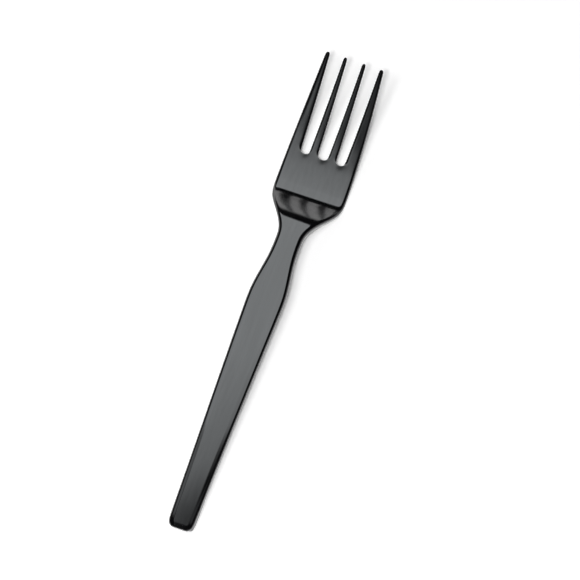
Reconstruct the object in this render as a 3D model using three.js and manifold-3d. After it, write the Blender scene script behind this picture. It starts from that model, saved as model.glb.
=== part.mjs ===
// Table fork: a single black plastic moulding, lying on its back as it rests on a table.
// Millimetres. X runs along the fork towards the tips, Y across it and Z up.
// The origin is on the table, below the middle of the fork's length and width.
// The moulding is divided into regions by planes across it, and the regions meet face to face.
import * as THREE from 'three';
import { mergeVertices } from 'three/addons/utils/BufferGeometryUtils.js';
import Module from 'manifold-3d';

// Lengths along the fork, one stretch after another from the handle's end
const GRIP_LENGTH = 72.5; // handle's end to its widest place
const WAIST_LENGTH = 16; // widest place to the narrowest place of the neck
const NECK_LENGTH = 3.8; // narrowest place to the start of the flare
const FLARE_LENGTH = 15.5; // flare of the shoulders, which ends at the heel of the head
const PLATE_LENGTH = 11; // heel to the roots of the slots
const TINE_LENGTH = 28.2; // roots of the slots to the tips
const RAMP_LENGTH = 9.1; // slope between the crease of the neck and the heel
const HEEL_REACH = 2; // how far before the heel's inner corner the head starts
const FOOT_LENGTH = 3; // flat foot under the handle's end
const FOOT_BLEND = 25; // from the flat foot to the free underside

// Widths across the fork
const END_WIDTH = 7.8;
const GRIP_WIDTH = 11.2;
const NECK_WIDTH = 7.7;
const HEAD_WIDTH = 21.7;
const TIPS_WIDTH = 17.7; // over the outer tines, at their tips
const HEAD_TAPER_POWER = 1.7; // how late the head's sides draw in
const MIDDLE_SLOT_WIDTH = 3.3; // at the root
const SIDE_SLOT_WIDTH = 2.85;
const SIDE_SLOT_OFFSET = 5.42; // middle of a side slot's root, from the centre line
const INNER_TINE_OFFSET = 2.82; // middle of an inner tine's tip, from the centre line
const INNER_TIP_WIDTH = 0.9;
const OUTER_TIP_WIDTH = 1.05;

// Heights of the top face above the heel's inner corner, and the angles at which it leaves
const END_RISE = 1.5;
const CREST_RISE = 7.1;
const TIP_RISE = 13.6;
const HANDLE_ANGLE = 6.3; // at the handle's end, degrees
const CREASE_ANGLE = 14.8; // fall of the neck where it meets the crease
const BOWL_ANGLE = 8.5; // rise of the plate where it leaves the heel
const CREASE_RADIUS = 4;
const HEEL_RADIUS = 2;
const HEEL_FLAT = 0.1; // depth that the heel is flattened where it rests

// Section of the moulding
const PLATE_THICKNESS = 1.5;
const TIP_THICKNESS = 1.15;
const WALL = 1.4; // top wall over the channel under the handle
const RIM_DEPTH = 3; // top face to the lower edge of the handle's side walls
const RIM_WIDTH = 1.3;
const CHANNEL_FILLET = 0.5;
const END_WALL = 1.6; // wall that closes the channel at the handle's end
const END_WALL_DRAFT = 1;
const GRIP_CROWN = 0.15; // how far the handle's top face falls from its middle to its edges
const END_EDGE_RADIUS = 0.7;
const EDGE_RADIUS = 0.5;
const LOWER_EDGE = 0.25;
const TINE_EDGE_RADIUS = 0.35;
const TINE_EDGE_RUN_IN = 4; // length over which the slots' edges become round
const SHARP_EDGE = 0.03; // radius where such an edge starts
const END_CORNER_RADIUS = 2;
const TIP_THINNING = 0.6; // how much less a tip is rounded in thickness than in plan

// Shares of the room in a section that its edges, rims and fillets may take at most
const EDGE_SHARE = 0.4;
const RIM_SHARE = 0.5;
const FILLET_SHARE = 0.2;

// Fineness of the faceted surfaces
const CURVE_POINTS = 600;
const EDGE_STEPS = 3;
const FILLET_STEPS = 5;
const END_STEPS = 6;
const TIP_STEPS = 5;
const SLOT_ROOT_STEPS = 12;
const TIP_GAP = 0.005; // distance before the tip at which the last section is taken
const CUT_PAST = 1; // how far a cutter reaches past what it cuts
const NEAR_SHARE = 0.2; // of a step: an even station this near to a wanted one is left out
const STATION_STEP = { grip: 5.2, waist: 1.7, shoulder: 0.95, head: 1.6, tine: 2.2 };

// Places along the fork, from the handle's end
const gripEnd = GRIP_LENGTH;
const crest = gripEnd + WAIST_LENGTH;
const flare = crest + NECK_LENGTH;
const heel = flare + FLARE_LENGTH;
const slotRoot = heel + PLATE_LENGTH;
const tip = slotRoot + TINE_LENGTH;
const crease = heel - RAMP_LENGTH;
const headStart = heel - HEEL_REACH;
const tineRoot = slotRoot + Math.max(MIDDLE_SLOT_WIDTH, SIDE_SLOT_WIDTH) / 2;

const { clamp, lerp, smoothstep, degToRad } = THREE.MathUtils;
const steepness = (degrees) => Math.tan(degToRad(degrees));

// Side profile of the top face, from curves that follow one another
function topCurves() {
  const point = (x, z) => new THREE.Vector2(x, z);
  const end = point(0, END_RISE);
  const arch = point((CREST_RISE - END_RISE) / steepness(HANDLE_ANGLE), CREST_RISE);
  const top = point(crest, CREST_RISE);
  const fall = (steepness(CREASE_ANGLE) * (crease - crest)) / 2;
  const creaseCorner = point(crease, CREST_RISE - fall);
  const heelCorner = point(heel, 0);
  const middle = (heel + tip) / 2;
  const bowl = point(middle, steepness(BOWL_ANGLE) * (middle - heel));
  const tipTop = point(tip, TIP_RISE);
  const neckBend = point((crest + crease) / 2, CREST_RISE);

  const creaseFillet = filletEnds(neckBend, creaseCorner, heelCorner, CREASE_RADIUS);
  const heelFillet = filletEnds(creaseCorner, heelCorner, bowl, HEEL_RADIUS);
  const curve = (...points) => new THREE.QuadraticBezierCurve(...points);
  return {
    handle: curve(end, arch, top),
    neck: curve(top, neckBend, creaseFillet[0]),
    crease: curve(creaseFillet[0], creaseCorner, creaseFillet[1]),
    ramp: new THREE.LineCurve(creaseFillet[1], heelFillet[0]),
    heel: curve(heelFillet[0], heelCorner, heelFillet[1]),
    bowl: curve(heelFillet[1], bowl, tipTop),
  };
}

// Where a fillet of that radius leaves the two lines that meet at a corner
function filletEnds(before, corner, after, radius) {
  const back = before.clone().sub(corner).normalize();
  const ahead = after.clone().sub(corner).normalize();
  const reach = radius / Math.tan(Math.acos(clamp(back.dot(ahead), -1, 1)) / 2);
  return [back, ahead].map((way) => corner.clone().addScaledVector(way, reach));
}

const curves = topCurves();
const profile = Object.values(curves).flatMap((curve, i) => curve.getPoints(CURVE_POINTS).slice(i ? 1 : 0));

// Height of the top face above the heel's inner corner
function riseAt(x) {
  const after = clamp(profile.findIndex((p) => p.x >= x), 1, profile.length - 1);
  const [a, b] = [profile[after - 1], profile[after]];
  return lerp(a.y, b.y, (x - a.x) / (b.x - a.x));
}

// Height of the underside of a wall of that thickness: the lowest reach of a ball of that radius
// that rolls along the top face with its centre on it
function underAt(x, thickness) {
  const near = profile.filter((p) => Math.abs(p.x - x) < thickness);
  return Math.min(...near.map((p) => p.y - Math.sqrt(thickness ** 2 - (x - p.x) ** 2))) - table;
}

const thicknessAt = (x) => lerp(PLATE_THICKNESS, TIP_THICKNESS, clamp((x - heel) / (tip - heel), 0, 1));
const table = Math.min(...profile.map((p) => p.y)) - PLATE_THICKNESS + HEEL_FLAT;
const topAt = (x) => riseAt(x) - table;
const plateUnderAt = (x) => Math.max(0, underAt(x, thicknessAt(x)));

// Half the outline's width
function halfWidthAt(x) {
  if (x < END_CORNER_RADIUS) return halfWidthAt(END_CORNER_RADIUS) - roundOff(x, END_CORNER_RADIUS);
  if (x < gripEnd) return lerp(END_WIDTH, GRIP_WIDTH, x / gripEnd) / 2;
  if (x < crest) return lerp(GRIP_WIDTH, NECK_WIDTH, smoothstep(x, gripEnd, crest)) / 2;
  if (x < heel) return lerp(NECK_WIDTH, HEAD_WIDTH, smoothstep(x, flare, heel)) / 2;
  return lerp(HEAD_WIDTH, TIPS_WIDTH, ((x - heel) / (tip - heel)) ** HEAD_TAPER_POWER) / 2;
}

// What a quarter circle takes off, at a distance from where it starts
function roundOff(distance, radius) {
  const left = radius - Math.min(distance, radius);
  return radius - Math.sqrt(radius ** 2 - left ** 2);
}

// Distances from where a quarter circle starts, at even angles
function quarterCircle(radius, steps) {
  const angles = Array.from({ length: steps + 1 }, (_, i) => ((i / steps) * Math.PI) / 2);
  return angles.map((angle) => radius * (1 - Math.cos(angle)));
}

// Corner of a section: an arc about the point inside it, from one angle to another
function arc(y, z, radius, from, to) {
  return Array.from({ length: EDGE_STEPS + 1 }, (_, i) => {
    const angle = degToRad(lerp(from, to, i / EDGE_STEPS));
    return new THREE.Vector2(y + radius * Math.cos(angle), z + radius * Math.sin(angle));
  });
}

// Section of the handle, neck, shoulders and head across X, counter-clockwise seen from the tips
function bodySection(x) {
  const half = halfWidthAt(x);
  const edgeRadius = lerp(END_EDGE_RADIUS, EDGE_RADIUS, clamp(x / gripEnd, 0, 1));
  const top = topAt(x) - roundOff(x, END_EDGE_RADIUS);
  const onHead = smoothstep(x, flare, heel);
  const free = lerp(topAt(x) - RIM_DEPTH, plateUnderAt(x), onHead);
  const bottom = Math.max(0, lerp(0, free, smoothstep(x, FOOT_LENGTH, FOOT_LENGTH + FOOT_BLEND)));
  const crown = GRIP_CROWN * (half / (GRIP_WIDTH / 2)) ** 2 * (1 - onHead);
  const open = smoothstep(x, END_WALL, END_WALL + END_WALL_DRAFT);
  const under = underAt(x, lerp(WALL, thicknessAt(x), onHead));
  const ceiling = lerp(bottom, Math.max(bottom, under), open);

  const radius = Math.min(edgeRadius, EDGE_SHARE * half, EDGE_SHARE * (top - bottom - crown));
  const rim = Math.min(RIM_WIDTH, RIM_SHARE * half);
  const fillet = Math.min(CHANNEL_FILLET, FILLET_SHARE * half);
  const lower = Math.min(LOWER_EDGE, EDGE_SHARE * rim);
  const crownDrop = (y) => crown * (y / half) ** 2;
  const right = [
    new THREE.Vector2(half - rim - fillet, ceiling),
    new THREE.Vector2(half - rim, bottom),
    new THREE.Vector2(half - lower, bottom),
    new THREE.Vector2(half, bottom + lower),
    ...arc(half - radius, top - crown - radius, radius, 0, 90),
    new THREE.Vector2(half / 2, top - crownDrop(half / 2)),
  ];
  const mirrored = right.map((p) => new THREE.Vector2(-p.x, p.y)).reverse();
  return [new THREE.Vector2(0, ceiling), ...right, new THREE.Vector2(0, top), ...mirrored];
}

// Sides of the slots and tines, as straight lines from the roots to the tips
const slots = [
  { offset: -SIDE_SLOT_OFFSET, width: SIDE_SLOT_WIDTH },
  { offset: 0, width: MIDDLE_SLOT_WIDTH },
  { offset: SIDE_SLOT_OFFSET, width: SIDE_SLOT_WIDTH },
];
const tipSides = [
  [-TIPS_WIDTH / 2, -TIPS_WIDTH / 2 + OUTER_TIP_WIDTH],
  [-INNER_TINE_OFFSET - INNER_TIP_WIDTH / 2, -INNER_TINE_OFFSET + INNER_TIP_WIDTH / 2],
  [INNER_TINE_OFFSET - INNER_TIP_WIDTH / 2, INNER_TINE_OFFSET + INNER_TIP_WIDTH / 2],
  [TIPS_WIDTH / 2 - OUTER_TIP_WIDTH, TIPS_WIDTH / 2],
];

// Side of a slot at x: which is -1 for its lower side in Y and 1 for its upper side
function slotSideAt(index, which, x) {
  const { offset, width } = slots[index];
  const atRoot = offset + (which * width) / 2;
  const atTip = which < 0 ? tipSides[index][1] : tipSides[index + 1][0];
  return lerp(atRoot, atTip, clamp((x - slotRoot - width / 2) / (tip - slotRoot - width / 2), 0, 1));
}

// Section of one tine across X, rounded off in plan and in thickness at its tip
function tineSection(index, x) {
  const [isFirst, isLast] = [index === 0, index === slots.length];
  const low = isFirst ? -halfWidthAt(x) : slotSideAt(index - 1, 1, x);
  const high = isLast ? halfWidthAt(x) : slotSideAt(index, -1, x);
  const tipRadius = (isFirst || isLast ? OUTER_TIP_WIDTH : INNER_TIP_WIDTH) / 2;
  const taken = roundOff(tip - x, tipRadius);
  const [left, right] = [low + taken, high - taken];
  const middle = (left + right) / 2;
  const thinned = (TIP_THINNING * taken * TIP_THICKNESS) / 2 / tipRadius;
  const top = topAt(x) - thinned;
  const bottom = plateUnderAt(x) + thinned;

  const limit = EDGE_SHARE * Math.min(right - left, top - bottom);
  const runIn = lerp(SHARP_EDGE, TINE_EDGE_RADIUS, smoothstep(x, tineRoot, tineRoot + TINE_EDGE_RUN_IN));
  const leftRadius = Math.min(isFirst ? EDGE_RADIUS : runIn, limit);
  const rightRadius = Math.min(isLast ? EDGE_RADIUS : runIn, limit);
  const lower = Math.min(LOWER_EDGE, limit);
  return [
    new THREE.Vector2(middle, bottom),
    new THREE.Vector2(right - lower, bottom),
    new THREE.Vector2(right, bottom + lower),
    ...arc(right - rightRadius, top - rightRadius, rightRadius, 0, 90),
    new THREE.Vector2(middle, top),
    ...arc(left + leftRadius, top - leftRadius, leftRadius, 90, 180),
    new THREE.Vector2(left, bottom + lower),
    new THREE.Vector2(left + lower, bottom),
  ];
}

// Stations from one place to another, no further apart than the step, with extra ones where given
function stations(from, to, step, extra = []) {
  const count = Math.ceil((to - from) / step);
  const even = Array.from({ length: count + 1 }, (_, i) => lerp(from, to, i / count));
  const near = NEAR_SHARE * step;
  const wanted = extra.filter((x) => x > from && x < to);
  const kept = even.slice(1, -1).filter((x) => wanted.every((w) => Math.abs(w - x) > near));
  return [from, ...[...kept, ...wanted].sort((a, b) => a - b), to];
}

// Closed surface through sections that have the same number of points
function loft(places, section) {
  const rings = places.map(section);
  const size = rings[0].length;
  const vertices = rings.flatMap((ring, i) => ring.flatMap((p) => [places[i], p.x, p.y]));
  const index = [];
  for (let i = 0; i + 1 < rings.length; i++) {
    for (let j = 0; j < size; j++) {
      const [a, b] = [i * size + j, i * size + ((j + 1) % size)];
      index.push(a, b, a + size, b, b + size, a + size);
    }
  }
  const last = (rings.length - 1) * size;
  for (const [a, b, c] of THREE.ShapeUtils.triangulateShape(rings[0], [])) index.push(a, c, b);
  for (const [a, b, c] of THREE.ShapeUtils.triangulateShape(rings.at(-1), [])) {
    index.push(last + a, last + b, last + c);
  }
  return new THREE.BufferGeometry()
    .setAttribute('position', new THREE.Float32BufferAttribute(vertices, 3))
    .setIndex(index);
}

const wasm = await Module();
wasm.setup();

function solid(geometry) {
  const bare = geometry.clone();
  bare.deleteAttribute('normal');
  bare.deleteAttribute('uv');
  const merged = mergeVertices(bare);
  const vertProperties = new Float32Array(merged.attributes.position.array);
  const triVerts = new Uint32Array(merged.index.array);
  return new wasm.Manifold(new wasm.Mesh({ numProp: 3, vertProperties, triVerts }));
}

function geometryOf(manifold) {
  const { vertProperties, triVerts } = manifold.getMesh();
  return new THREE.BufferGeometry()
    .setAttribute('position', new THREE.Float32BufferAttribute(vertProperties, 3))
    .setIndex(new THREE.BufferAttribute(triVerts, 1));
}

// Upright cutter for the round root of one slot, past the plane where the tines start
function slotCutter({ offset, width }) {
  const radius = width / 2;
  const past = tineRoot + CUT_PAST;
  const [low, high] = [-CUT_PAST, topAt(tineRoot) + CUT_PAST];
  const outline = new THREE.Shape()
    .moveTo(past, offset - radius)
    .lineTo(past, offset + radius)
    .lineTo(slotRoot + radius, offset + radius)
    .absarc(slotRoot + radius, offset, radius, Math.PI / 2, 1.5 * Math.PI, false);
  const options = { depth: high - low, bevelEnabled: false, curveSegments: SLOT_ROOT_STEPS };
  return solid(new THREE.ExtrudeGeometry(outline, options).translate(0, 0, low));
}

const bends = ['crease', 'heel'].flatMap((name) => curves[name].getPoints(FILLET_STEPS).map((p) => p.x));
const endRounds = quarterCircle(END_CORNER_RADIUS, END_STEPS);
const wallEnds = [END_WALL, END_WALL + END_WALL_DRAFT / 2, END_WALL + END_WALL_DRAFT];

function handle() {
  const extra = [...endRounds, ...wallEnds, FOOT_LENGTH];
  return loft(stations(0, gripEnd, STATION_STEP.grip, extra), bodySection);
}

function neck() {
  return loft(stations(gripEnd, crease, STATION_STEP.waist, [...bends, flare]), bodySection);
}

function shoulder() {
  return loft(stations(crease, headStart, STATION_STEP.shoulder, bends), bodySection);
}

function head() {
  const plate = loft(stations(headStart, tineRoot, STATION_STEP.head, bends), bodySection);
  const cut = slots.reduce((whole, slot) => whole.subtract(slotCutter(slot)), solid(plate));
  return geometryOf(cut);
}

function tine(index) {
  const tipRadius = Math.max(INNER_TIP_WIDTH, OUTER_TIP_WIDTH) / 2;
  const rounded = quarterCircle(tipRadius, TIP_STEPS).map((distance) => tip - distance);
  const places = stations(tineRoot, tip, STATION_STEP.tine, rounded);
  return loft(places, (x) => tineSection(index, Math.min(x, tip - TIP_GAP)));
}

const blackPlastic = new THREE.MeshStandardMaterial({ color: 0x17181a, roughness: 0.3, metalness: 0 });

function piece(name, geometry) {
  geometry.computeVertexNormals();
  const mesh = new THREE.Mesh(geometry, blackPlastic);
  mesh.name = name;
  return mesh;
}

const fork = new THREE.Group();
fork.name = 'fork';
fork.add(piece('handle', handle()));
fork.add(piece('neck', neck()));
fork.add(piece('shoulder', shoulder()));
fork.add(piece('head', head()));
for (let i = 0; i <= slots.length; i++) fork.add(piece(`tine_${i + 1}`, tine(i)));
fork.children.forEach((mesh) => mesh.position.setX(-tip / 2));

export default fork;
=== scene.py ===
"""A black table fork, moulded in one piece of plastic, lying on a white table."""

import math

import bmesh
import bpy
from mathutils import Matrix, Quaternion, Vector


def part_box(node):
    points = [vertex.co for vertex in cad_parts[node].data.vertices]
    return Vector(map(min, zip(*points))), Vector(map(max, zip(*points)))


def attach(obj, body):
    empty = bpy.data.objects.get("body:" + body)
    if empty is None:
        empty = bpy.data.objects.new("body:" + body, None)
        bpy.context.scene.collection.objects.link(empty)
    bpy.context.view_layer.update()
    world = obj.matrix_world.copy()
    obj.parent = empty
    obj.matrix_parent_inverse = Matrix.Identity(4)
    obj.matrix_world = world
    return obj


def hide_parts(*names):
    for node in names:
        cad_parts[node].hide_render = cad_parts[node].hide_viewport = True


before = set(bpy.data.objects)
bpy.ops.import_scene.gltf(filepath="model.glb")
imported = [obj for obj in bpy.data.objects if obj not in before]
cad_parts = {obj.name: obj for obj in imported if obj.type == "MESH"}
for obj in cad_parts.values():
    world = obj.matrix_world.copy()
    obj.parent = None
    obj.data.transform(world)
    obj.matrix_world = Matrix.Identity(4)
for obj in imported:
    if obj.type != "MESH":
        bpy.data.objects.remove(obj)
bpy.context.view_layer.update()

MM = 0.001

# Corners of the solids' boxes
HANDLE_LOW, HANDLE_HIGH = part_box("handle")
NECK_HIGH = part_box("neck")[1]
HEAD_LOW, HEAD_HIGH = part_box("head")
INNER_LOW, INNER_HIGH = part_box("tine_3")
OUTER_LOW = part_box("tine_4")[0]

# Places along the fork
END = HANDLE_LOW.x
GRIP_END = HANDLE_HIGH.x
CREST = GRIP_END + 16 * MM
FLARE = CREST + 3.8 * MM
CREASE = NECK_HIGH.x
HEEL = HEAD_LOW.x + 2 * MM
TINE_ROOT = HEAD_HIGH.x
TIP = INNER_HIGH.x

# Half-widths
END_HALF = 3.6 * MM
GRIP_HALF = HANDLE_HIGH.y
NECK_HALF = 3.96 * MM
HEAD_HALF = HEAD_HIGH.y
TIPS_HALF = 8.84 * MM
HEAD_TAPER_POWER = 1.7

# Tines: how much wider than the solids they are at the roots, their sides there and at the tips
INNER_SWELL = 0.16 * MM
OUTER_SWELL = 0.24 * MM
INNER_ROOT = (INNER_LOW.y - INNER_SWELL, INNER_HIGH.y + INNER_SWELL)
INNER_TIP = (2.22 * MM, 3.42 * MM)
OUTER_ROOT = OUTER_LOW.y - OUTER_SWELL
OUTER_TIP = 7.46 * MM
SLOT_MIDDLE = (INNER_ROOT[1] + OUTER_ROOT) / 2

# Heights of the upper side, and how steeply it sets out from the handle's end and the heel
END_TOP = 2.81 * MM
CREST_TOP = 8.4 * MM
CREASE_TOP = 7.32 * MM
HEEL_TOP = 1.31 * MM
TIP_TOP = 14.7 * MM
HANDLE_SLOPE = math.tan(math.radians(6.3))
BOWL_SLOPE = math.tan(math.radians(8.5))

# Crown of the upper side, and the lift of the tines' roots between two distances in millimetres
END_CROWN = 0.01 * MM
GRIP_CROWN = 0.08 * MM
HEAD_CROWN = 0.02 * MM
ROOT_LIFT = 0.07 * MM
LIFT_ROWS = (117.4, 121.5)

# Thickness, the rims beside the channel, the foot at the handle's end and the heel
PLATE = 1.5 * MM
TIP_PLATE = 1.15 * MM
WALL = 1.4 * MM
RIM_DEPTH = 3 * MM
FOOT = 3 * MM
FOOT_BLEND = 25 * MM
HEEL_DIP = 0.15 * MM

# Side walls: how they draw in below, and how they flare and lean at the handle's end
DRAFT = 0.13
END_FLARE = 0.3 * MM
FLARE_REACH = 30 * MM
END_LEAN = 1 * MM

# Round roots of the slots, and the bevelled border at the handle's end
ROOT_BOW = 1 * MM
ROOT_RISE = 0.12 * MM
BORDER_DROP = 0.35 * MM
BORDER_REACH = 55 * MM

# Rounding of the edges, with the distances in millimetres between which the neck's is larger
END_EDGE = 0.45 * MM
EDGE = 1.1 * MM
NECK_EDGE = 1.55 * MM
NECK_EDGE_ROWS = (66, 90, 114)
LOWER_EDGE = 0.25 * MM
END_LOWER_EDGE = 0.4 * MM
TINE_EDGE_SHARE = 0.31
ROOT_EDGE = 0.06 * MM
BORDER_EDGE = 0.2 * MM
EDGE_SEGMENTS = 8
SMOOTHING = 2

# Rows across the fork, as distances in millimetres from the handle's end
HANDLE_ROWS = (0, 1.5, 4, 8.5, 15, 23, 32, 42, 52, 61, 68, 72.5, 76, 79.5, 82.5, 85.5, 88.5)
NECK_ROWS = (91, 93.2, 95, 96.6, 98.3)
RAMP_ROWS = (101.3, 102.5, 103.6, 105, 107.8)
HEAD_ROWS = (110.5, 112.2, 113.8, 115.6, 117.4, 119.4)
TINE_ROWS = (121.2, 124.2, 127.8, 131.2, 134.6, 138, 141, 143.5, 145.2, 146.3, 147)
CHANNEL_ROWS = (4, 103.6)

# Lines along the fork, and how the rows at the handle's end and the tips are narrowed
COLUMNS = 10
TINES = 4
CORNER_PULL = 1.1 * MM
TIP_PULL = 0.8

# How far a new side is drawn out before its rows are set, and the slack in choosing points
FAR = 0.1
CLOSE = 0.01 * MM
RIM_SLACK = 0.05 * MM
SIDE_SLACK = 0.1 * MM
ROOT_SLACK = 0.5 * MM
SHARE_SLACK = 0.01
OUTER_SHARE = 0.8
WALL_RISE = 0.5
STRAIGHT = 1e-6

# The ramp's duller surface
RAMP_MIDDLE = END + 104 * MM
RAMP_FADE = (1.5 * MM, 3.5 * MM)
RAMP_DULLNESS = 0.08


# Shapes


def blend(low, high, share):
    """A value part of the way from low to high."""
    return low + (high - low) * share


def share_of(value, start, stop):
    """How far a value is from start to stop, held between 0 and 1."""
    return min(max((value - start) / (stop - start), 0), 1)


def ease(value, start, stop):
    """The same, with a soft start and a soft end."""
    share = share_of(value, start, stop)
    return share * share * (3 - 2 * share)


def same(one, other):
    """True where two places are the same, within a hundredth of a millimetre."""
    return abs(one - other) < CLOSE


def within(value, low, high, slack=CLOSE):
    """True for a value between low and high, with some slack."""
    return low - slack < value < high + slack


def rows(distances):
    """Places along the fork of rows given in millimetres from the handle's end."""
    return [END + distance * MM for distance in distances]


def height_on(curve, x):
    """The height at x of a curve given by its start, its control point and its end."""
    (x0, z0), (x1, z1), (x2, z2) = curve
    bow = x0 - 2 * x1 + x2
    run = 2 * (x1 - x0)
    if abs(bow) < STRAIGHT:
        share = (x - x0) / run
    else:
        share = (math.sqrt(run * run - 4 * bow * (x0 - x)) - run) / (2 * bow)
    return z0 * (1 - share) ** 2 + 2 * z1 * share * (1 - share) + z2 * share**2


HANDLE_CURVE = (
    (END, END_TOP),
    (END + (CREST_TOP - END_TOP) / HANDLE_SLOPE, CREST_TOP),
    (CREST, CREST_TOP),
)
NECK_CURVE = (
    (CREST, CREST_TOP),
    ((CREST + CREASE) / 2, CREST_TOP),
    (CREASE, CREASE_TOP),
)
BOWL_CURVE = (
    (HEEL, HEEL_TOP),
    ((HEEL + TIP) / 2, HEEL_TOP + BOWL_SLOPE * (TIP - HEEL) / 2),
    (TIP, TIP_TOP),
)


def lift(x):
    """How far the tines' roots rise above the bowl's even curve."""
    start, stop = rows(LIFT_ROWS)
    return ROOT_LIFT * (ease(x, start, stop) - share_of(x, stop, TIP))


def top(x):
    """Height of the upper side on the centre line."""
    if x <= CREST:
        return height_on(HANDLE_CURVE, x)
    if x <= CREASE:
        return height_on(NECK_CURVE, x)
    if x <= HEEL:
        return blend(CREASE_TOP, HEEL_TOP, share_of(x, CREASE, HEEL))
    return height_on(BOWL_CURVE, x) + lift(x)


def half_width(x):
    """Half the width of the fork, tines and the gaps between them included."""
    if x <= GRIP_END:
        return blend(END_HALF, GRIP_HALF, share_of(x, END, GRIP_END))
    if x <= FLARE:
        return blend(GRIP_HALF, NECK_HALF, ease(x, GRIP_END, CREST))
    if x <= HEEL:
        return blend(NECK_HALF, HEAD_HALF, ease(x, FLARE, HEEL))
    return blend(HEAD_HALF, TIPS_HALF, share_of(x, HEEL, TIP) ** HEAD_TAPER_POWER)


def upright(thickness, x):
    """A wall's thickness measured straight down, where its upper side slopes."""
    reach = 0.5 * MM
    slope = (top(min(x + reach, TIP)) - top(max(x - reach, END))) / (2 * reach)
    return thickness * math.sqrt(1 + slope * slope)


def crown(x):
    """How far the sides lie below the centre line."""
    grip = blend(END_CROWN, GRIP_CROWN, share_of(x, END, END + BORDER_REACH))
    return blend(grip, HEAD_CROWN, ease(x, GRIP_END, CREASE))


def bottom(x):
    """Height of the lower side: the rims under the handle, the plate under the head."""
    rim = blend(0, top(x) - RIM_DEPTH, ease(x, END + FOOT, END + FOOT + FOOT_BLEND))
    plate = top(x) - upright(blend(PLATE, TIP_PLATE, share_of(x, HEEL, TIP)), x)
    return max(blend(rim, plate, ease(x, FLARE, HEAD_LOW.x)), -HEEL_DIP)


def ceiling(x):
    """Height of the channel's roof."""
    return top(x) - upright(WALL, x)


def tine_sides(x, tine):
    """The two sides of a tine, tine 0 being the rightmost, at y below 0."""
    share = share_of(x, TINE_ROOT, TIP)
    if tine in (1, 2):
        near = blend(INNER_ROOT[0], INNER_TIP[0], share)
        far = blend(INNER_ROOT[1], INNER_TIP[1], share)
    else:
        near = blend(OUTER_ROOT, OUTER_TIP, share)
        far = half_width(x)
    return (near, far) if tine > 1 else (-far, -near)


def border_drop(x):
    """How far the outer edge lies below the bevelled border's inner line."""
    return BORDER_DROP * (1 - ease(x, END, END + BORDER_REACH))


# The rows where the slots and the border start, and the border's inner line as a share of the width
ROOT_ROW = rows(HEAD_ROWS)[-1]
BORDER_ROW = rows(HANDLE_ROWS)[1]
BORDER_LINE = OUTER_ROOT / half_width(ROOT_ROW)


# Working in edit mode


def choose(piece, kind, wanted):
    """Selects only the points, edges or faces that are wanted."""
    bpy.ops.mesh.select_mode(type=kind)
    bpy.ops.mesh.select_all(action="DESELECT")
    net = bmesh.from_edit_mesh(piece.data)
    parts = {"VERT": net.verts, "EDGE": net.edges, "FACE": net.faces}[kind]
    for part in parts:
        if wanted(part):
            part.select_set(True)
    net.select_flush_mode()
    bmesh.update_edit_mesh(piece.data)


def add_modifier(piece, kind, **settings):
    """Adds a modifier with these settings and applies it."""
    modifier = piece.modifiers.new(kind.lower(), kind)
    for name, value in settings.items():
        setattr(modifier, name, value)
    bpy.ops.object.modifier_apply(modifier=modifier.name)


# The fork


def first_rows(stations):
    """A strip across the handle's end, with a line for each side of a tine and each slot's middle."""
    bpy.ops.object.select_all(action="DESELECT")
    bpy.ops.mesh.primitive_grid_add(x_subdivisions=1, y_subdivisions=COLUMNS, size=2)
    fork = bpy.context.object
    fork.name = "fork_moulding"
    fork.data.name = "fork_moulding"
    bpy.ops.object.mode_set(mode="EDIT")
    root = stations[-1]
    inner, outer = tine_sides(root, 2), tine_sides(root, 3)
    sides = inner + ((inner[1] + outer[0]) / 2,) + outer
    for count, side in enumerate(sides):
        old = 2 * (count + 1) / COLUMNS
        line = side / half_width(root)
        choose(fork, "VERT", lambda p: abs(abs(p.co.y) - old) < SHARE_SLACK)
        bpy.ops.transform.resize(value=(1, line / old, 1), center_override=(0, 0, 0))
        bpy.ops.transform.translate(value=(0, 0, -line * line))
    for old, x in zip((-1, 1), stations):
        half = half_width(x) - (CORNER_PULL if x == stations[0] else 0)
        choose(fork, "VERT", lambda p: abs(p.co.x - old) < SHARE_SLACK)
        bpy.ops.transform.resize(value=(1, half, crown(x)), center_override=(old, 0, 0))
        bpy.ops.transform.translate(value=(x - old, 0, top(x)))
    return fork


def extend(fork, stations):
    """Draws the sheet out from its second row to the slot roots, row by row."""
    choose(fork, "EDGE", lambda edge: all(same(p.co.x, stations[1]) for p in edge.verts))
    for before, x in zip(stations[1:], stations[2:]):
        step = (x - before, 0, top(x) - top(before))
        bpy.ops.mesh.extrude_edges_move(TRANSFORM_OT_translate={"value": step})
        size = (1, half_width(x) / half_width(before), crown(x) / crown(before))
        bpy.ops.transform.resize(value=size, center_override=(x, 0, top(x)))


def drop_border(fork, stations):
    """Lowers the outer edges of the handle's end, which leaves a sloping border."""
    for x in stations:
        limit = -1 if x == stations[0] else OUTER_SHARE * half_width(x)
        choose(fork, "VERT", lambda p: same(p.co.x, x) and abs(p.co.y) > limit)
        if border_drop(x) > 0:
            bpy.ops.transform.translate(value=(0, 0, -border_drop(x)))


def draw_tine(fork, tine, stations):
    """Draws one tine out from its root edge to its tip."""
    low, high = tine_sides(stations[0], tine)

    def at_root(edge):
        ends = [point.co for point in edge.verts]
        return all(
            same(co.x, stations[0]) and within(co.y, low, high, SIDE_SLACK) for co in ends
        )

    choose(fork, "EDGE", at_root)
    middle = (low + high) / 2
    width = high - low
    for before, x in zip(stations, stations[1:]):
        low, high = tine_sides(x, tine)
        new_middle = (low + high) / 2
        new_width = (high - low) * (TIP_PULL if x == stations[-1] else 1)
        step = (x - before, new_middle - middle, top(x) - top(before))
        bpy.ops.mesh.extrude_edges_move(TRANSFORM_OT_translate={"value": step})
        bpy.ops.transform.resize(
            value=(1, new_width / width, 1), center_override=(x, new_middle, top(x))
        )
        middle = new_middle
        width = new_width


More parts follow.
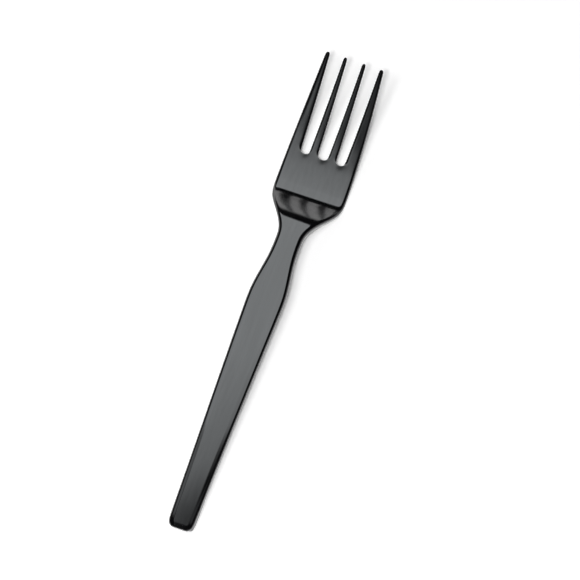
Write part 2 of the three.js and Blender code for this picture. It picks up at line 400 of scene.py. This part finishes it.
def draw_in(fork, x):
    """Makes the lower side of one row narrower than the upper, or wider at the handle's end."""
    away = ease(x, END, END + FLARE_REACH)
    inward = DRAFT * (top(x) - bottom(x)) * away - END_FLARE * (1 - away)
    low_side = bottom(x)
    if x < TINE_ROOT:
        spans = [(-half_width(x), half_width(x))]
    else:
        spans = [tine_sides(x, tine) for tine in range(TINES)]
    for low, high in spans:
        choose(
            fork,
            "VERT",
            lambda p: same(p.co.x, x)
            and same(p.co.z, low_side)
            and within(p.co.y, low, high, SIDE_SLACK),
        )
        narrower = 1 - 2 * inward / (high - low)
        bpy.ops.transform.resize(value=(1, narrower, 1), center_override=(x, (low + high) / 2, 0))


def thicken(fork, stations):
    """Gives the sheet its lower side, row by row."""
    choose(fork, "FACE", lambda face: True)
    bpy.ops.mesh.extrude_region_move(TRANSFORM_OT_translate={"value": (0, 0, -FAR)})
    for x in stations:
        choose(fork, "VERT", lambda p: p.co.z < -FAR / 2 and same(p.co.x, x))
        bpy.ops.transform.resize(value=(1, 1, 0), center_override=(x, 0, bottom(x)))
        draw_in(fork, x)
    choose(fork, "VERT", lambda p: same(p.co.x, END) and same(p.co.z, bottom(END)))
    bpy.ops.transform.translate(value=(END_LEAN, 0, 0))


def hollow(fork, stations):
    """Sinks the channel between the rims into the lower side."""
    start, stop = rows(CHANNEL_ROWS)

    def under(face):
        return all(
            within(p.co.x, start, stop)
            and abs(p.co.y) < half_width(p.co.x) * BORDER_LINE + RIM_SLACK
            and same(p.co.z, bottom(p.co.x))
            for p in face.verts
        )

    choose(fork, "FACE", under)
    bpy.ops.mesh.extrude_region_move(TRANSFORM_OT_translate={"value": (0, 0, FAR)})
    for x in stations:
        choose(fork, "VERT", lambda p: p.co.z > FAR / 2 and same(p.co.x, x))
        if within(x, start, stop):
            bpy.ops.transform.resize(value=(1, 1, 0), center_override=(x, 0, ceiling(x)))


def round_roots(fork):
    """Pulls the middle of each slot's root back and up a little, which rounds the root."""
    drop = top(ROOT_ROW) - top(ROOT_ROW - ROOT_BOW)
    for place in (-SLOT_MIDDLE, 0, SLOT_MIDDLE):
        choose(
            fork, "VERT", lambda p: same(p.co.x, ROOT_ROW) and abs(p.co.y - place) < ROOT_SLACK
        )
        bpy.ops.transform.translate(value=(-ROOT_BOW, 0, ROOT_RISE - drop))


def on_border_line(edge):
    """True for the inner line of the bevelled border on the handle's upper side."""
    places = [point.co for point in edge.verts]
    if edge.link_faces[0].normal.z < 0 or max(co.x for co in places) > END + BORDER_REACH:
        return False
    sides = [abs(co.y) / half_width(co.x) for co in places]
    if all(same(co.x, BORDER_ROW) for co in places):
        return max(sides) < BORDER_LINE + SHARE_SLACK
    beyond = min(co.x for co in places) > BORDER_ROW - CLOSE
    return beyond and all(abs(side - BORDER_LINE) < SHARE_SLACK for side in sides)


def edge_radius(edge):
    """The rounding of an edge between a wall and a flat face or on the border's line, or 0."""
    middle = (edge.verts[0].co + edge.verts[1].co) / 2
    walls = [abs(face.normal.z) < WALL_RISE for face in edge.link_faces]
    if sum(walls) == 0 and on_border_line(edge):
        return BORDER_EDGE * border_drop(middle.x) / BORDER_DROP
    if sum(walls) != 1:
        return 0
    flat = edge.link_faces[walls.index(False)]
    if flat.normal.z < 0:
        return END_LOWER_EDGE if same(middle.x, END + END_LEAN) else LOWER_EDGE
    if any(same(p.co.x, ROOT_ROW - ROOT_BOW) for p in edge.verts):
        return ROOT_EDGE
    if middle.x > TINE_ROOT:
        low, high = tine_sides(middle.x, 2 if abs(middle.y) < SLOT_MIDDLE else 3)
        return min(EDGE, TINE_EDGE_SHARE * (high - low))
    grip = blend(END_EDGE, EDGE, ease(middle.x, END, END + BORDER_REACH))
    start, centre, stop = rows(NECK_EDGE_ROWS)
    near = ease(middle.x, start, centre) - ease(middle.x, centre, stop)
    return blend(grip, NECK_EDGE, near)


def round_edges(fork):
    """Marks the edges to be rounded, each by its own radius, rounds them and smooths the skin."""
    bpy.ops.mesh.select_all(action="SELECT")
    bpy.ops.mesh.normals_make_consistent(inside=False)
    net = bmesh.from_edit_mesh(fork.data)
    net.normal_update()
    weight = net.edges.layers.float.new("bevel_weight_edge")
    for edge in net.edges:
        edge[weight] = edge_radius(edge) / EDGE
    bmesh.update_edit_mesh(fork.data)
    bpy.ops.object.mode_set(mode="OBJECT")
    add_modifier(
        fork,
        "BEVEL",
        width=EDGE,
        segments=EDGE_SEGMENTS,
        limit_method="WEIGHT",
        offset_type="OFFSET",
        use_clamp_overlap=False,
    )
    add_modifier(fork, "SUBSURF", levels=SMOOTHING, render_levels=SMOOTHING)
    bpy.ops.object.shade_smooth()


def make_fork():
    """The whole moulding, from the handle's end to the tips, as one closed skin."""
    stations = rows(HANDLE_ROWS + NECK_ROWS + RAMP_ROWS + HEAD_ROWS)
    tine_stations = rows(HEAD_ROWS[-1:] + TINE_ROWS)
    fork = first_rows(stations)
    extend(fork, stations)
    drop_border(fork, stations)
    for tine in range(TINES):
        draw_tine(fork, tine, tine_stations)
    thicken(fork, stations + tine_stations[1:])
    hollow(fork, stations)
    round_roots(fork)
    round_edges(fork)
    return fork


# Materials

PLASTIC_SHADES = ((0.0022, 0.0022, 0.0025, 1), (0.0034, 0.0034, 0.0038, 1))
TABLE_COLOUR = (0.85, 0.85, 0.85, 1)
TABLE_GLOW = (0.25, 0.9)
TABLE_REACH = (0.12, 1.3)


def new_material(name):
    """An empty node material, and its node tree."""
    material = bpy.data.materials.new(name)
    material.use_nodes = True
    material.node_tree.nodes.clear()
    return material, material.node_tree


def add_node(tree, kind, inputs=None, **settings):
    """Adds a node with these settings, and with these values on its inputs."""
    node = tree.nodes.new(kind)
    for name, value in settings.items():
        setattr(node, name, value)
    for socket, value in (inputs or {}).items():
        node.inputs[socket].default_value = value
    return node


def map_range(source, target=(0, 1)):
    """The values of a map range node that takes one span to another."""
    return {
        "From Min": source[0],
        "From Max": source[1],
        "To Min": target[0],
        "To Max": target[1],
    }


def black_plastic():
    """Near-black moulded plastic with a soft sheen and faint streaks along the flow."""
    material, tree = new_material("black_plastic")
    link = tree.links.new
    place = add_node(tree, "ShaderNodeTexCoord")
    along = add_node(tree, "ShaderNodeMapping", {"Scale": (22, 1100, 1100)})
    link(place.outputs["Object"], along.inputs["Vector"])
    streaks = add_node(tree, "ShaderNodeTexNoise", {"Scale": 1, "Detail": 3, "Roughness": 0.6})
    link(along.outputs["Vector"], streaks.inputs["Vector"])
    cloud = add_node(tree, "ShaderNodeTexNoise", {"Scale": 160, "Detail": 2})
    link(place.outputs["Object"], cloud.inputs["Vector"])
    grain = add_node(tree, "ShaderNodeTexNoise", {"Scale": 5200, "Detail": 2})
    link(place.outputs["Object"], grain.inputs["Vector"])

    # Roughness: streaks and clouds, and more of it on the ramp
    mixed = add_node(tree, "ShaderNodeMath", {1: 0.6}, operation="MULTIPLY_ADD")
    link(streaks.outputs["Fac"], mixed.inputs[0])
    link(cloud.outputs["Fac"], mixed.inputs[2])
    rough = add_node(tree, "ShaderNodeMapRange", map_range((0.5, 1.1), (0.07, 0.11)))
    link(mixed.outputs["Value"], rough.inputs["Value"])
    parts = add_node(tree, "ShaderNodeSeparateXYZ")
    link(place.outputs["Object"], parts.inputs["Vector"])
    away = add_node(tree, "ShaderNodeMath", {1: RAMP_MIDDLE}, operation="SUBTRACT")
    link(parts.outputs["X"], away.inputs[0])
    distance = add_node(tree, "ShaderNodeMath", operation="ABSOLUTE")
    link(away.outputs["Value"], distance.inputs[0])
    dull = add_node(tree, "ShaderNodeMapRange", map_range(RAMP_FADE, (RAMP_DULLNESS, 0)))
    link(distance.outputs["Value"], dull.inputs["Value"])
    duller = add_node(tree, "ShaderNodeMath", operation="ADD")
    link(rough.outputs["Result"], duller.inputs[0])
    link(dull.outputs["Result"], duller.inputs[1])

    # Colour: sockets 6 and 7 are the two colours that the mix node goes between
    shades = dict(zip((6, 7), PLASTIC_SHADES))
    tint = add_node(tree, "ShaderNodeMix", data_type="RGBA")
    for socket, shade in shades.items():
        tint.inputs[socket].default_value = shade
    link(cloud.outputs["Fac"], tint.inputs[0])

    # Fine relief, and a thin film of gloss that follows the streaks
    height = add_node(tree, "ShaderNodeMath", {1: 0.5}, operation="MULTIPLY_ADD")
    link(grain.outputs["Fac"], height.inputs[0])
    link(streaks.outputs["Fac"], height.inputs[2])
    bump = add_node(tree, "ShaderNodeBump", {"Strength": 0.12, "Distance": 0.02 * MM})
    link(height.outputs["Value"], bump.inputs["Height"])
    film = add_node(tree, "ShaderNodeMapRange", map_range((0.3, 0.7), (0, 0.15)))
    link(streaks.outputs["Fac"], film.inputs["Value"])

    gloss = {"IOR": 1.57, "Specular IOR Level": 0.47, "Coat Roughness": 0.09}
    shader = add_node(tree, "ShaderNodeBsdfPrincipled", gloss)
    link(tint.outputs[2], shader.inputs["Base Color"])
    link(duller.outputs["Value"], shader.inputs["Roughness"])
    link(film.outputs["Result"], shader.inputs["Coat Weight"])
    link(bump.outputs["Normal"], shader.inputs["Normal"])
    output = add_node(tree, "ShaderNodeOutputMaterial")
    link(shader.outputs["BSDF"], output.inputs["Surface"])
    return material


def white_table():
    """Matt white that looks evenly white and still takes the fork's shadow."""
    material, tree = new_material("white_table")
    link = tree.links.new
    rays = add_node(tree, "ShaderNodeLightPath")
    seen = rays.outputs["Is Camera Ray"]
    for kind in ("Is Glossy Ray", "Is Transmission Ray"):
        either = add_node(tree, "ShaderNodeMath", operation="MAXIMUM")
        link(seen, either.inputs[0])
        link(rays.outputs[kind], either.inputs[1])
        seen = either.outputs["Value"]
    place = add_node(tree, "ShaderNodeTexCoord")
    distance = add_node(tree, "ShaderNodeVectorMath", operation="LENGTH")
    link(place.outputs["Object"], distance.inputs[0])
    level = add_node(tree, "ShaderNodeMapRange", map_range(TABLE_REACH, TABLE_GLOW))
    link(distance.outputs["Value"], level.inputs["Value"])
    strength = add_node(tree, "ShaderNodeMath", operation="MULTIPLY")
    link(seen, strength.inputs[0])
    link(level.outputs["Result"], strength.inputs[1])
    glow = add_node(tree, "ShaderNodeEmission")
    link(strength.outputs["Value"], glow.inputs["Strength"])
    matt = add_node(tree, "ShaderNodeBsdfDiffuse", {"Color": TABLE_COLOUR})
    both = add_node(tree, "ShaderNodeAddShader")
    link(glow.outputs["Emission"], both.inputs[0])
    link(matt.outputs["BSDF"], both.inputs[1])
    output = add_node(tree, "ShaderNodeOutputMaterial")
    link(both.outputs["Shader"], output.inputs["Surface"])
    return material


# Table, light and camera

TABLE_SIZE = 24
CAMERA_AZIMUTH = math.radians(290.07)
CAMERA_ELEVATION = math.radians(70)
CAMERA_LENS = 1200
CAMERA_SENSOR = 36
VIEW_WIDTH = 165.8 * MM
VIEW_CENTRE = Vector((4.51, -5.29, 5)) * MM
PICTURE_TURN = math.radians(20.07)


def picture_place(right, up, height):
    """A place given by millimetres right and up the picture from the handle's end, and its height."""
    x = END / MM + right * math.sin(PICTURE_TURN) + up * math.cos(PICTURE_TURN)
    y = -right * math.cos(PICTURE_TURN) + up * math.sin(PICTURE_TURN)
    return Vector((x, y, height)) * MM


# Each lamp's place, aim, size and radiance
BACK_PLACE = Vector((-500, 0, 310)) * MM
BACK_AIM = Vector((0, 0, 310)) * MM
LAMPS = {
    "softbox": (picture_place(20, 315, 300), VIEW_CENTRE, (0.22, 0.65), 3.48),
    "tine_panel": (picture_place(-52.6, -12.7, 298), VIEW_CENTRE, (0.03, 0.18), 1.55),
    "rear_panel": (picture_place(20, 5, 299), VIEW_CENTRE, (0.14, 0.09), 0.43),
    "border_panel": (picture_place(-157, 123, 297), VIEW_CENTRE, (0.145, 0.05), 1.6),
    "end_panel": (picture_place(121, -6, 296), VIEW_CENTRE, (0.045, 0.08), 0.42),
    "back_panel": (BACK_PLACE, BACK_AIM, (1.5, 0.5), 0.9),
    "key": (picture_place(-80, -330, 1200), VIEW_CENTRE, (0.14, 0.14), 140),
    "fill": (picture_place(-330, -250, 1200), VIEW_CENTRE, (0.35, 0.35), 17),
    "side": (picture_place(-750, 250, 700), VIEW_CENTRE, (0.6, 0.6), 1.7),
}

# The lamps that only give sheen, with the shares of an axis where their light is none and full
SHEEN_FADES = {
    "softbox": (
        ("X", 0, 0.1),
        ("X", 1, 0.9),
        ("Y", 0.0769, 0.1185),
        ("Y", -0.046, 0.208),
        ("Y", 1, 0.965),
    ),
    "tine_panel": (
        ("X", 0.85, 0.3),
        ("X", 0, 0.167),
        ("Y", -0.11, 0.72),
        ("Y", 0, 0.06),
        ("Y", 0.989, 0.75),
    ),
    "rear_panel": (
        ("X", 0, 0.05),
        ("X", 1, 0.9),
        ("Y", -0.94, 0.69),
        ("Y", 0, 0.08),
        ("Y", 1, 0.85),
    ),
    "border_panel": (("X", 0, 0.4), ("Y", 0, 0.3), ("Y", 1, 0.7)),
    "end_panel": (("X", 0, 0.3), ("X", 1, 0.7), ("Y", 0, 0.3), ("Y", 1, 0.7)),
    "back_panel": (("X", 0, 0.2), ("X", 1, 0.8), ("Y", 0, 0.5), ("Y", 1, 0.5)),
}
SHEEN_COLOUR = (0.94, 0.98, 1)

# The lamps that face straight down, with their turns, and those that only light the table
FLAT_TURNS = {
    "softbox": PICTURE_TURN,
    "tine_panel": 0,
    "rear_panel": PICTURE_TURN,
    "border_panel": PICTURE_TURN,
    "end_panel": 0,
}
SHADOW_LAMPS = ("key", "fill", "side")

# The room and its pale wall
WALL_TOP = 0.15
WALL_FADE = 0.2
WALL_LIGHT = 2.1
WALL_SPREAD = (0.45, 0.8)
ROOM_LIGHT = 0.006


def make_table():
    """The white table under the fork."""
    bpy.ops.object.select_all(action="DESELECT")
    bpy.ops.mesh.primitive_plane_add(size=TABLE_SIZE)
    table = bpy.context.object
    table.name = "table"
    table.data.materials.append(white_table())


def add_lamp(name, place, aim, size, radiance):
    """A flat lamp that faces a point, as bright as its radiance says."""
    lamp = bpy.data.lights.new(name, "AREA")
    lamp.shape = "RECTANGLE"
    lamp.size, lamp.size_y = size
    lamp.energy = radiance * math.pi * size[0] * size[1]
    holder = bpy.data.objects.new(name, lamp)
    holder.location = place
    holder.rotation_mode = "QUATERNION"
    holder.rotation_quaternion = (aim - place).to_track_quat("-Z", "Y")
    holder.visible_camera = False
    bpy.context.collection.objects.link(holder)
    return holder


def fade_edges(lamp, fades):
    """Lets a lamp's light fade between the shares of its width or height that each fade gives."""
    lamp.use_nodes = True
    tree = lamp.node_tree
    place = add_node(tree, "ShaderNodeNewGeometry")
    split = add_node(tree, "ShaderNodeSeparateXYZ")
    tree.links.new(place.outputs["Parametric"], split.inputs["Vector"])
    level = None
    for axis, start, stop in fades:
        ramp = add_node(tree, "ShaderNodeMapRange", map_range((start, stop)))
        tree.links.new(split.outputs[axis], ramp.inputs["Value"])
        if level is not None:
            both = add_node(tree, "ShaderNodeMath", operation="MULTIPLY")
            tree.links.new(level, both.inputs[0])
            tree.links.new(ramp.outputs["Result"], both.inputs[1])
            level = both.outputs["Value"]
        else:
            level = ramp.outputs["Result"]
    tree.links.new(level, tree.nodes["Emission"].inputs["Strength"])


def lay_flat(lamp, turn):
    """Turns a lamp to face straight down, its height running at this turn from the fork."""
    lamp.rotation_quaternion = Quaternion((0, 0, 1), turn - math.pi / 2)


def light_scene():
    """A softbox and five panels for the sheen, three lamps for the shadow, and the room."""
    lamps = {name: add_lamp(name, *settings) for name, settings in LAMPS.items()}
    for name, fades in SHEEN_FADES.items():
        fade_edges(lamps[name].data, fades)
        lamps[name].visible_diffuse = False
        lamps[name].data.color = SHEEN_COLOUR
    for name, turn in FLAT_TURNS.items():
        lay_flat(lamps[name], turn)
    for name in SHADOW_LAMPS:
        lamps[name].visible_glossy = False
    bpy.context.scene.world = studio_world()


def studio_world():
    """A dark room with a pale wall low down, beyond the fork's tips."""
    world = bpy.data.worlds.new("studio")
    world.use_nodes = True
    tree = world.node_tree
    link = tree.links.new
    place = add_node(tree, "ShaderNodeTexCoord")
    split = add_node(tree, "ShaderNodeSeparateXYZ")
    link(place.outputs["Generated"], split.inputs["Vector"])
    low = add_node(tree, "ShaderNodeMapRange", map_range((WALL_FADE, WALL_TOP)))
    link(split.outputs["Z"], low.inputs["Value"])
    ahead = (math.cos(PICTURE_TURN), math.sin(PICTURE_TURN), 0)
    facing = add_node(tree, "ShaderNodeVectorMath", {1: ahead}, operation="DOT_PRODUCT")
    link(place.outputs["Generated"], facing.inputs[0])
    near = add_node(tree, "ShaderNodeMapRange", map_range(WALL_SPREAD))
    link(facing.outputs["Value"], near.inputs["Value"])
    wall = add_node(tree, "ShaderNodeMath", operation="MULTIPLY")
    link(low.outputs["Result"], wall.inputs[0])
    link(near.outputs["Result"], wall.inputs[1])
    levels = {1: WALL_LIGHT, 2: ROOM_LIGHT}
    level = add_node(tree, "ShaderNodeMath", levels, operation="MULTIPLY_ADD")
    link(wall.outputs["Value"], level.inputs[0])
    link(level.outputs["Value"], tree.nodes["Background"].inputs["Strength"])
    tree.nodes["Background"].inputs["Color"].default_value = (1, 1, 1, 1)
    return world


def make_camera():
    """A long lens that looks down on the fork from the handle's side."""
    back = Vector(
        (
            math.sin(CAMERA_AZIMUTH) * math.cos(CAMERA_ELEVATION),
            -math.cos(CAMERA_AZIMUTH) * math.cos(CAMERA_ELEVATION),
            math.sin(CAMERA_ELEVATION),
        )
    )
    lens = bpy.data.cameras.new("camera")
    lens.lens = CAMERA_LENS
    lens.sensor_width = CAMERA_SENSOR
    camera = bpy.data.objects.new("camera", lens)
    camera.location = VIEW_CENTRE + back * (VIEW_WIDTH * CAMERA_LENS / CAMERA_SENSOR)
    camera.rotation_mode = "QUATERNION"
    camera.rotation_quaternion = (-back).to_track_quat("-Z", "Y")
    bpy.context.collection.objects.link(camera)
    bpy.context.scene.camera = camera


make_camera()
fork = make_fork()
fork.data.materials.append(black_plastic())
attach(fork, "root")
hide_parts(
    "handle", "neck", "shoulder", "head", "tine_1", "tine_2", "tine_3", "tine_4"
)
make_table()
light_scene()
bpy.context.scene.view_settings.view_transform = "Standard"
